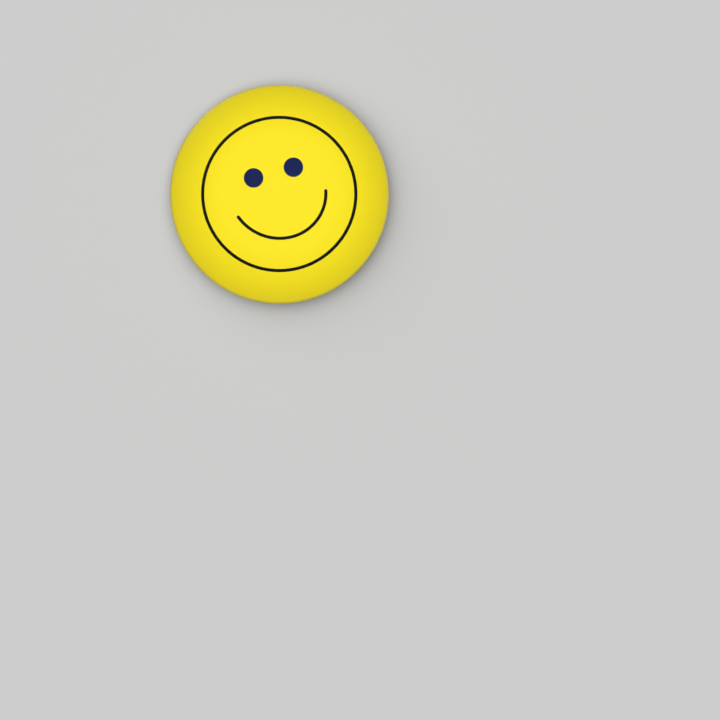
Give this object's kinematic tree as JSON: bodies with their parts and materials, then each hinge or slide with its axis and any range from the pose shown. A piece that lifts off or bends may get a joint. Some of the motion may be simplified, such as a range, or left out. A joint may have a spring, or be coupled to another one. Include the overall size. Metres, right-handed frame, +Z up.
{
  "type": "button badge",
  "caption": "Round domed button badge: printed paper under clear film on a tinplate shell, crimped to a back ring that holds a sprung wire pin with a catch.",
  "frame": {"origin": "middle of the back ring's flat rim, where the worn badge meets the cloth", "axes": "+Z is up as worn, -Y is out of the printed face, +Y runs into the cloth, and +X is along the pin leg towards its point"},
  "size_m": [0.0254, 0.0056, 0.0254],
  "materials": {
    "clear_film": "clear satin polyester film, 0.05 mm",
    "printed_paper": "smooth coated paper, printed flat yellow with navy and near-black line work, white on the back",
    "shell_tinplate": "bright tinplate, pressed",
    "ring_tinplate": "bright tinplate, pressed and hemmed",
    "pin_steel": "nickel-plated spring steel wire, drawn"
  },
  "bodies": {
    "badge": {"clear_film": "clear_film", "printed_disc": "printed_paper", "front_shell": "shell_tinplate", "back_collet": "ring_tinplate"},
    "pin_wire": {"pin_wire": "pin_steel"},
    "pin_leg": {"pin_leg": "pin_steel"}
  },
  "joints": [
    {"name": "pin_turn", "type": "hinge", "parent": "badge", "child": "pin_wire", "pos_m": [0, -0.00093, 0], "axis": [0, -1, 0], "continuous": true},
    {"name": "pin_open", "type": "hinge", "parent": "pin_wire", "child": "pin_leg", "pos_m": [-0.007, -0.00115, 0.0026], "axis": [0, 0.8192, 0.5736], "range_deg": [0, 35], "stiffness_Nm_per_rad": 0.001}
  ]
}
